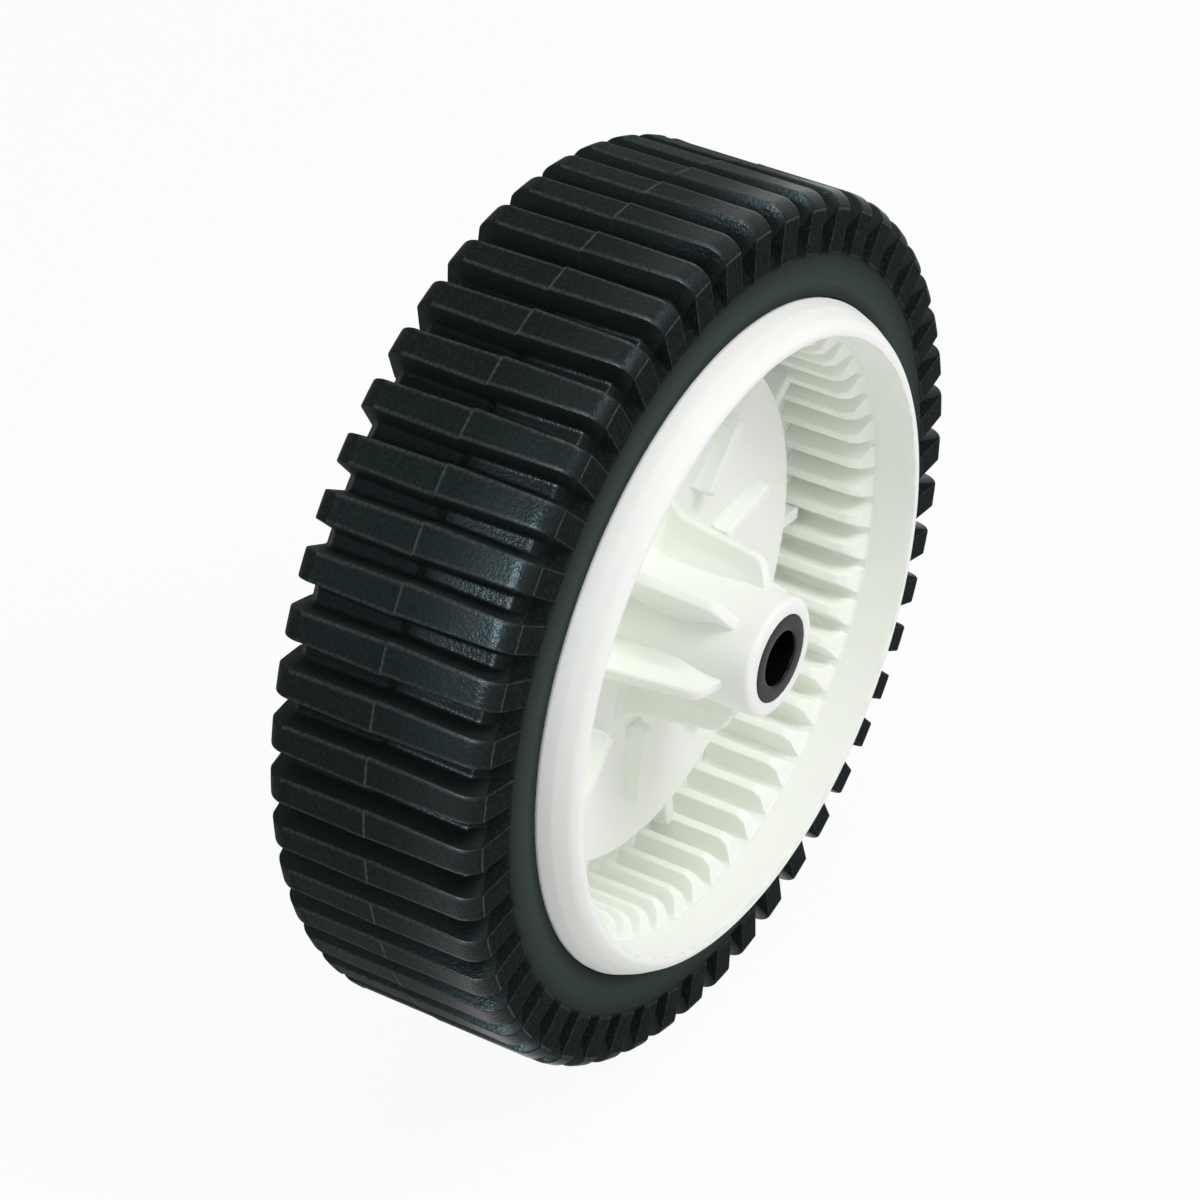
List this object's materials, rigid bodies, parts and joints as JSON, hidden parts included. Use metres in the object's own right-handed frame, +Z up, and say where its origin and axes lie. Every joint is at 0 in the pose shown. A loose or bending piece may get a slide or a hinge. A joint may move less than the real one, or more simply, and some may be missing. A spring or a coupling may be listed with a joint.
{
  "type": "lawn mower drive wheel",
  "caption": "Drive wheel for a self-propelled lawn mower: bar-tread tyre on a white moulded hub with an internal ring gear, finned boss and a plain axle bush.",
  "frame": {"origin": "on the axle line, at the tyre's middle plane", "axes": "+Y along the axle towards the gear side, +Z up, +X in the wheel's plane"},
  "size_m": [0.2032, 0.0691, 0.2032],
  "materials": {
    "tyre_compound": "satin moulded",
    "white_nylon": "natural moulded",
    "bush_plastic": "gloss"
  },
  "bodies": {
    "root": {"tyre": "tyre_compound", "wheel_hub": "white_nylon", "axle_bush": "bush_plastic"}
  },
  "joints": []
}
